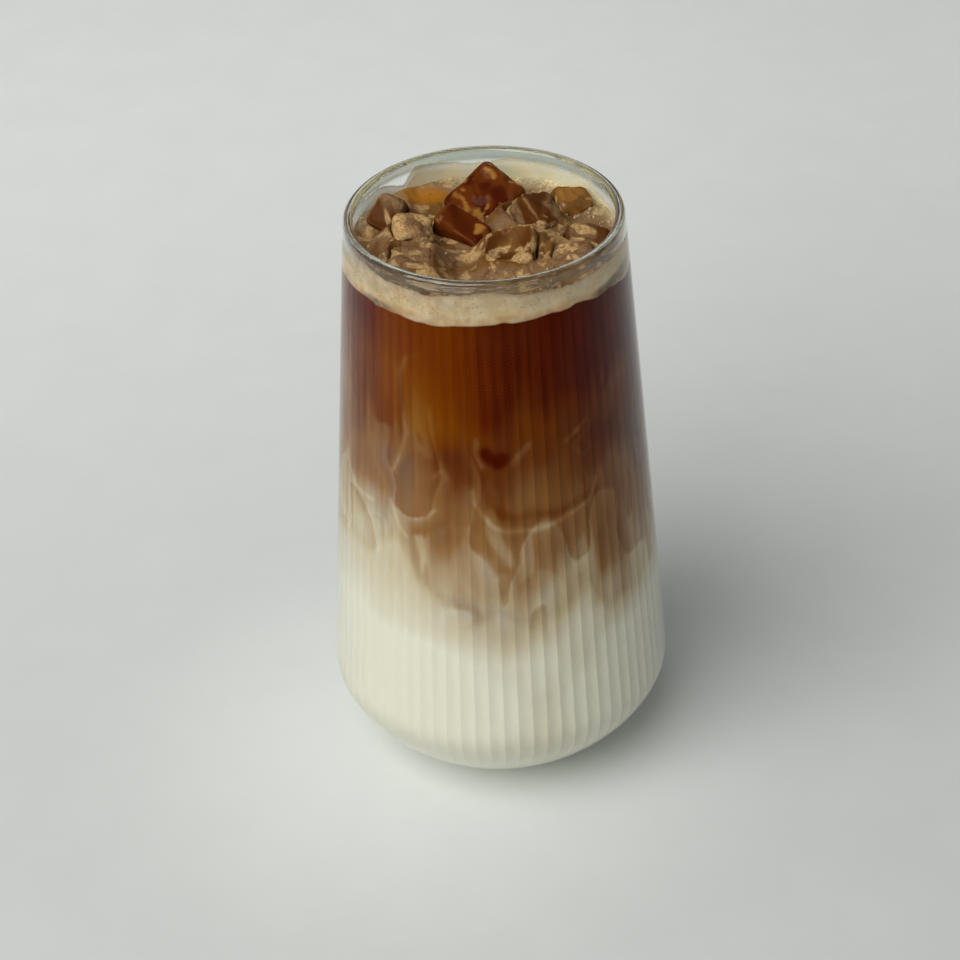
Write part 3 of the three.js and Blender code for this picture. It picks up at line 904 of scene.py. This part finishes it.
def foamMaterial():
    paint = Paint("milk foam")
    froth = paint.attribute("froth")
    marks, height = frothPattern(paint, froth)
    patches = paint.step(paint.noise(4.5, 4, 0.6), 0.4, 0.62)
    top = paint.layer(paint.colours("painted"), (patches * froth * 0.35, (98, 66, 34)), (marks * 0.8, (72, 44, 22)))
    holes, mottle = 1 - paint.step(paint.cells(0.34), 0.02, 0.10), paint.step(paint.noise(0.7, 3, 0.6), 0.55, 0.75)
    lowest = paint.step(paint.attribute("deep"), 0.95, 1.0)
    band = paint.layer(paint.colours("painted"), (holes * 0.5, (110, 84, 56)), (mottle * 0.25, (104, 80, 54)),
                       (lowest * 0.6, (112, 60, 18)))
    colour = paint.blend(paint.attribute("side"), top, band)
    surface = paint.shader({
        "Base Color": colour, "Roughness": 0.4, "Specular IOR Level": 0.03,
        "Normal": paint.bump(height, 0.6, 0.3)})
    return paint.finish(surface)


# Film of milk left on the wall above the foam
film = {
    "reach": 0.3, "rows": 34, "above": 2.6, "highest": 144.6,
    "clearFrom": (137.6, 139.6), "greyFrom": (137.3, 139.8),
}
filmTop = [(-180, 143.2), (-160, 143.6), (-146, 143.3), (-134, 142.4), (-121, 142.2), (-115, 141.4),
           (-103, 142.6), (-89, 143.4), (-80, 142.4), (-71, 141.8), (-57, 141.2), (-42, 141.4), (-24, 141.4),
           (0, 140.6), (23, 140.4), (35, 142.2), (53, 142.6), (72, 143.0), (95, 142.0), (121, 144.2),
           (127, 139.8), (139, 142.5), (160, 142.4)]


def buildFilm(material):
    rows = film["rows"]
    mesh = spinProfile("wall_film", [(1, row) for row in range(rows + 1)], columns)
    points = readPoints(mesh)
    angle, row = polar(points)[1], points[:, 2]
    turns, degrees = turnShare(angle), np.degrees(angle)
    teeth = 0.2 + 0.8 * near(degrees, 60, 30)
    top = edgeHeight(degrees, filmTop) + teeth * 0.5 * wrapNoise(turns, 0 * row, 96, 5, 51)
    low = foamLow(angle)
    height = low + (np.minimum(top + film["above"], film["highest"]) - low) * row / rows
    writePoints(mesh, fromPolar(innerRadius(angle, height, film["reach"]), angle, height))
    addValues(mesh, "below", top - height)  # how far below the film's upper edge, in millimetres
    addValues(mesh, "above", height - low)
    addValues(mesh, "clear", 1 - 0.7 * near(degrees, 176, 24) * smoothStep(height, *film["clearFrom"]))
    front = smoothStep(np.cos(np.radians(degrees + 95)), -0.3, 0.6)
    addValues(mesh, "front", front)
    grey = (front * smoothStep(height, *film["greyFrom"]))[:, None] * (0.10, 0.10, 0.0)
    addColours(mesh, "painted", wallColour(angle, height) * (1 - grey))
    return addPiece("wall_film", mesh, material)


def filmMaterial():
    paint = Paint("milk film")
    below = paint.attribute("below")
    lace = paint.cells(1.3, "SMOOTH_F1", 0.4) + (paint.noise(2.6, 3, 0.55) - 0.5) * 1.2
    cover = paint.step(below - lace * 0.7, -0.3, 0.35)
    thick = paint.step(below, 0.6, 3.4)
    rim = 1 - paint.step(below - lace * 0.7, 0.2, 1.0)  # the film dries thicker at its upper edge
    specks = paint.step(paint.cells(0.5), 0.06, 0.16)
    nearFront = paint.attribute("front")
    alpha = cover * (0.62 + 0.3 * thick + (1 - nearFront) * rim * 0.3 + 0.25 * nearFront) * (0.8 + 0.2 * specks)
    streaks = paint.noise(1.0, 4, 0.6, (0.25, 0.25, 2.6))  # thin smears along the rim
    smear = paint.step(streaks, 0.44, 0.6) * (1 - paint.step(streaks, 0.66, 0.8)) * nearFront
    alpha = (alpha + (1 - cover) * smear * 0.5) * paint.attribute("clear")
    pores = (1 - paint.step(paint.cells(0.8), 0.16, 0.3)) * paint.step(paint.noise(3.0, 3, 0.6), 0.42, 0.56)
    pores = pores * paint.step(paint.attribute("above"), 1.6, 3.2) * nearFront
    edge = 1 - paint.step(paint.attribute("above"), 0.0, 0.4)
    cloud = paint.noise(3.2, 4, 0.6)
    shade = paint.layer(
        paint.colours("painted"),
        (paint.step(cloud, 0.4, 0.65) * 0.25, (236, 226, 200)),
        ((1 - specks) * (0.15 + 0.45 * nearFront), (110, 84, 56)),
        # painted shade below the rim: the film is darker along its upper edge at the front
        ((1 - paint.step(below, 0.2, 1.3)) * nearFront * 0.5, (112, 88, 62)),
        (pores * 0.55, (96, 78, 58)),
        (edge * 0.6, (104, 60, 22)))
    smears = [(0.46, (84, 60, 44)), (0.56, (112, 84, 62)), (0.68, (204, 180, 158))]
    smeared = paint.ramp(streaks, [(place, tone(*shown)) for place, shown in smears])
    shade = paint.blend((1 - cover) * nearFront, shade, smeared)
    surface = paint.shader({"Base Color": shade, "Roughness": 0.35, "Alpha": alpha})
    return paint.finish(surface)


# Bubbles on the foam and beside the ice
bubbles = {"count": 300, "small": 0.16, "large": 0.55, "seed": 5, "group": 20, "bedShare": 0.7, "fromIce": 0.2}
bubbleBeds = [(-24, -12, 5), (25, 9, 4), (22, 12, 4), (14, -20, 4), (-27, 10, 4), (3, -19, 8), (26, 2, 4)]


# Places and sizes of the bubbles: most in beds, the rest all over the foam
def bubblePlaces():
    draw = np.random.default_rng(bubbles["seed"])
    chosen = []
    while len(chosen) < bubbles["count"]:
        if draw.random() < bubbles["bedShare"]:
            bedX, bedY, spread = bubbleBeds[draw.integers(len(bubbleBeds))]
            x, y = bedX + draw.normal() * spread * 0.5, bedY + draw.normal() * spread * 0.5
        else:
            radius, turn = foam["radius"] * math.sqrt(draw.random()), draw.random() * 2 * math.pi
            x, y = radius * math.cos(turn), radius * math.sin(turn)
        if math.hypot(x, y) > foam["radius"]:
            continue
        height, nearest = foamHeight(np.array([x]), np.array([y]))
        if nearest[0] > bubbles["fromIce"]:
            size = bubbles["small"] + (bubbles["large"] - bubbles["small"]) * draw.random() ** 3
            chosen.append((x, y, height[0] + 0.15 * size, size))
    return chosen


def buildBubbles():
    places = bubblePlaces()
    shape = bmesh.new()
    for start in range(0, len(places), bubbles["group"]):  # small groups are quick to make
        part = bmesh.new()
        for *place, size in places[start:start + bubbles["group"]]:
            bmesh.ops.create_uvsphere(part, u_segments=8, v_segments=5, radius=size * mm,
                                      matrix=Matrix.Translation(Vector(place) * mm))
        group = makeMesh("bubble_group", part)
        shape.from_mesh(group)
        bpy.data.meshes.remove(group)
    mesh = makeMesh("foam_bubbles", shape)
    paint = Paint("bubble skin")
    sheen = paint.noise(0.8, 2, 0.5)
    surface = paint.shader({
        "Base Color": paint.ramp(sheen, [(0.35, tone(170, 130, 84)), (0.65, tone(214, 190, 152))]),
        "Roughness": 0.06, "Alpha": 0.45, "Specular IOR Level": 0.9})
    return addPiece("foam_bubbles", mesh, paint.finish(surface))


buildGlass()
print("glass built")
drinkPaint = drinkMaterial()
buildMilk(drinkPaint)
buildLayer("mixed_layer_swirled", "mixed_layer", drinkPaint, drink["milkTop"], drink["mixTop"])
buildLayer("coffee_layer", "coffee", drinkPaint, drink["mixTop"], drink["coffeeTop"])
print("drink built")
icePaint = iceMaterial()
for block in iceBlocks:
    buildIce(block, icePaint)
print("ice built")
buildFoam(foamMaterial())
buildFilm(filmMaterial())
buildBubbles()
print("foam, film and bubbles built")


# Floor, light and colour handling
studio = {
    # floor: its lengths and places are metres
    "floorSize": 3.0, "floorDrop": 0.00005, "floorColour": (0.592, 0.615, 0.612),
    # painted light and shade: the floor is painted lighter far off, darker to the right and lighter round the
    # glass's foot
    "paintedFarLight": 1.36, "farPlace": (-0.07, 0.38), "paintedRightShade": 0.94, "rightPlace": (-0.02, 0.16),
    "paintedLightPool": 1.16, "paintedLightPoolMiddle": (-0.018, -0.008, 0), "paintedLightPoolPlace": (0.02, 0.095),
    "world": (0.985, 0.985, 0.965), "worldLeft": 0.385, "worldRight": 0.17,
    "windowAim": (0, 0, 60),
    "window": {"place": (-877, -941, 1532), "size": (1700, 1700), "power": 41.0, "colour": (1.0, 0.99, 0.955)},
    "back window": {"place": (120, 1150, 1000), "size": (700, 420), "power": 1.6, "colour": (0.985, 0.985, 0.965)},
}


def buildFloor():
    shape = bmesh.new()
    bmesh.ops.create_grid(shape, x_segments=1, y_segments=1, size=studio["floorSize"])
    bmesh.ops.translate(shape, verts=shape.verts, vec=(0, 0, -studio["floorDrop"]))
    mesh = makeMesh("floor", shape)
    piece = addObject("floor", mesh)
    paint = Paint("pale paper")
    mottle = paint.noise(22, 4, 0.6)
    paper = [(*[part * share for part in studio["floorColour"]], 1) for share in (0.985, 1.015)]
    colour = paint.ramp(mottle, [(0.3, paper[0]), (0.7, paper[1])])
    across, along = (paint.along(way) for way in "XY")
    around = paint.node("ShaderNodeVectorMath", {"operation": "DISTANCE"},
                        {0: paint.place(), 1: studio["paintedLightPoolMiddle"]}, output="Value")
    # Painted light and shade on the floor: lighter far off, darker to the right, and a painted pool of light round
    # the glass
    paintedLightAndShade = [(paint.step(along, *studio["farPlace"]), studio["paintedFarLight"]),
             (paint.step(across, *studio["rightPlace"]), studio["paintedRightShade"]),
             (1 - paint.step(around, *studio["paintedLightPoolPlace"]), studio["paintedLightPool"])]
    for share, lift in paintedLightAndShade:
        colour = paint.blend(share, colour, paint.brighten(colour, lift))
    fibre = paint.noise(1.2, 3, 0.6)
    surface = paint.shader({"Base Color": colour, "Roughness": 0.7, "Specular IOR Level": 0.2,
                            "Normal": paint.bump(fibre, 0.06, 0.2)})
    mesh.materials.append(paint.finish(surface))


def addWindow(name):
    window = studio[name]
    data = bpy.data.lights.new(name, "AREA")
    data.shape = "RECTANGLE"
    data.size, data.size_y = (side * mm for side in window["size"])
    data.energy = window["power"]
    data.color = window["colour"]
    lamp = addObject(name, data)
    at = Vector(window["place"]) * mm
    lamp.location = at
    lamp.rotation_mode = "QUATERNION"
    lamp.rotation_quaternion = (Vector(studio["windowAim"]) * mm - at).to_track_quat("-Z", "Y")
    return lamp


def lightScene():
    world = bpy.data.worlds.new("soft room")
    bpy.context.scene.world = world
    paint = Paint("soft room", world)
    across = paint.node("ShaderNodeSeparateXYZ", None, {
        "Vector": paint.node("ShaderNodeTexCoord", output="Generated")}, output="X")
    strength = paint.node("ShaderNodeMapRange", None, {
        "Value": across, "From Min": -1, "From Max": 1,
        "To Min": studio["worldLeft"], "To Max": studio["worldRight"]})
    sky = paint.node("ShaderNodeBackground", None, {"Color": (*studio["world"], 1), "Strength": strength})
    paint.node("ShaderNodeOutputWorld", None, {"Surface": sky})
    addWindow("window")
    back = addWindow("back window")
    back.visible_diffuse = False  # seen only as gloss on the wet ice and foam
    back.visible_camera = False
    bpy.context.scene.view_settings.view_transform = "Standard"


buildFloor()
lightScene()
print("floor and light made")
